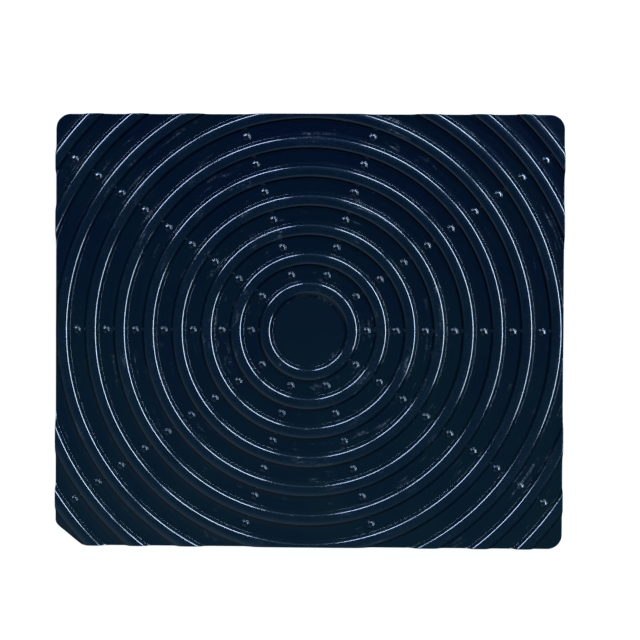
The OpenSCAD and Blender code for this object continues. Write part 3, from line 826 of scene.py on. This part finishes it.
def emitter(name, colour, strength):
    """A plain glowing material."""
    material = bpy.data.materials.new(name)
    material.use_nodes = True
    tree = material.node_tree
    tree.nodes.clear()
    glow = tree.nodes.new("ShaderNodeEmission")
    glow.inputs["Color"].default_value = (*colour, 1)
    glow.inputs["Strength"].default_value = strength
    tree.links.new(glow.outputs[0], tree.nodes.new("ShaderNodeOutputMaterial").inputs[0])
    return material


def add_panels():
    """Curved soft light panels round the back and right, seen only as reflections."""
    for i, (first, last, radiance, colour) in enumerate(PANELS):
        steps = max(2, round((last - first) / 4))
        bm = bmesh.new()
        rows = []
        for j in range(steps + 1):
            az = math.radians(first + (last - first) * j / steps)
            rows.append([
                bm.verts.new(PANEL_DISTANCE * Vector((math.cos(az), math.sin(az), math.tan(math.radians(e)))))
                for e in (PANEL_LOW, PANEL_HIGH)
            ])
        for low, high in zip(rows, rows[1:]):
            bm.faces.new((low[0], high[0], high[1], low[1]))
        panel = new_object(f"light_panel_{i}", bm)
        paint(panel, emitter(f"panel_{i}", colour, radiance))
        panel.visible_camera = False
        panel.visible_diffuse = False
        panel.visible_shadow = False


KEY_STRENGTH = 3.4
KEY_SPREAD = 24
KEY_FROM = Vector((0.47, 0.88, 0.68))


def add_key():
    """Broad key light for the matt part of the shading, from the same side as the panels."""
    key = bpy.data.lights.new("key", "SUN")
    key.energy = KEY_STRENGTH
    key.angle = math.radians(KEY_SPREAD)
    key.color = (0.9, 0.95, 1.0)
    lamp = bpy.data.objects.new("key", key)
    lamp.rotation_euler = KEY_FROM.to_track_quat("Z", "Y").to_euler()
    lamp.visible_glossy = False
    bpy.context.scene.collection.objects.link(lamp)


def add_floor():
    """A pale matt floor that glows enough to stay near white."""
    bm = bmesh.new()
    bmesh.ops.create_circle(bm, cap_ends=True, segments=96, radius=FLOOR_R)
    floor = new_object("floor", bm)
    s = Shader("floor_pale")
    grain = s.noise(s.place, 60, 3, 0.5)
    s.surface(s.mix(grain, (0.2, 0.2, 0.2), (0.22, 0.22, 0.22)), 0.9)
    s.bsdf.inputs["Specular IOR Level"].default_value = 0.0
    s.bsdf.inputs["Emission Color"].default_value = (1, 1, 1, 1)
    s.bsdf.inputs["Emission Strength"].default_value = PALE
    paint(floor, s.material)
    floor.visible_glossy = False


def add_backdrop():
    """A pale shell far outside, seen only by the camera."""
    bm = bmesh.new()
    bmesh.ops.create_icosphere(bm, subdivisions=4, radius=FLOOR_R * BACKDROP_SCALE)
    shell = new_object("backdrop", bm)
    paint(shell, emitter("backdrop_pale", (1, 1, 1), BACKDROP_PALE))
    for name in ("visible_diffuse", "visible_glossy", "visible_transmission", "visible_shadow"):
        setattr(shell, name, False)


# Each glow is (azimuth, elevation, ((closeness, colour), ...)), where closeness is 1 at its middle.
WORLD_GLOWS = (
    (242, 28, ((0.30, (0.002, 0.014, 0.050)), (0.62, (0.02, 0.08, 0.16)),
               (0.78, (0.20, 0.36, 0.52)), (0.92, (0.34, 0.52, 0.70)))),
    (62, 50, ((0.84, (0.0, 0.0, 0.0)), (0.91, (0.07, 0.20, 0.40)), (0.98, (0.35, 0.65, 1.0)))),
)


def add_world():
    """Dim surroundings: nearly dark overhead, with a faint glow near left and round the panels."""
    world = bpy.data.worlds.new("room")
    bpy.context.scene.world = world
    world.use_nodes = True
    tree = world.node_tree
    tree.nodes.clear()
    place = tree.nodes.new("ShaderNodeTexCoord")
    glows = []
    for az, rise, stops in WORLD_GLOWS:
        toward = tree.nodes.new("ShaderNodeVectorMath")
        toward.operation = "DOT_PRODUCT"
        az, rise = math.radians(az), math.radians(rise)
        toward.inputs[1].default_value = (
            math.cos(az) * math.cos(rise), math.sin(az) * math.cos(rise), math.sin(rise))
        tree.links.new(place.outputs["Generated"], toward.inputs[0])
        ramp = tree.nodes.new("ShaderNodeValToRGB")
        tree.links.new(toward.outputs["Value"], ramp.inputs[0])
        ends = ramp.color_ramp.elements
        ends[0].position, ends[0].color = stops[0][0], (*stops[0][1], 1)
        ends[1].position, ends[1].color = stops[-1][0], (*stops[-1][1], 1)
        for position, colour in stops[1:-1]:
            ends.new(position).color = (*colour, 1)
        glows.append(ramp.outputs[0])
    total = tree.nodes.new("ShaderNodeVectorMath")
    tree.links.new(glows[0], total.inputs[0])
    tree.links.new(glows[1], total.inputs[1])
    back = tree.nodes.new("ShaderNodeBackground")
    tree.links.new(total.outputs[0], back.inputs[0])
    back.inputs[1].default_value = 1.0
    tree.links.new(back.outputs[0], tree.nodes.new("ShaderNodeOutputWorld").inputs[0])


def add_camera():
    """Almost straight above the mat, as in the photo."""
    data = bpy.data.cameras.new("camera")
    data.lens = CAMERA_LENS
    data.sensor_width = SENSOR_WIDTH
    data.clip_end = CLIP_END
    camera = bpy.data.objects.new("camera", data)
    camera.location = CAMERA_AT
    camera.rotation_euler = [math.radians(a) for a in CAMERA_TURN]
    bpy.context.scene.collection.objects.link(camera)
    bpy.context.scene.camera = camera


bpy.context.scene.view_settings.view_transform = "Standard"
add_camera()
dress()
add_floor()
add_backdrop()
add_panels()
add_key()
add_world()
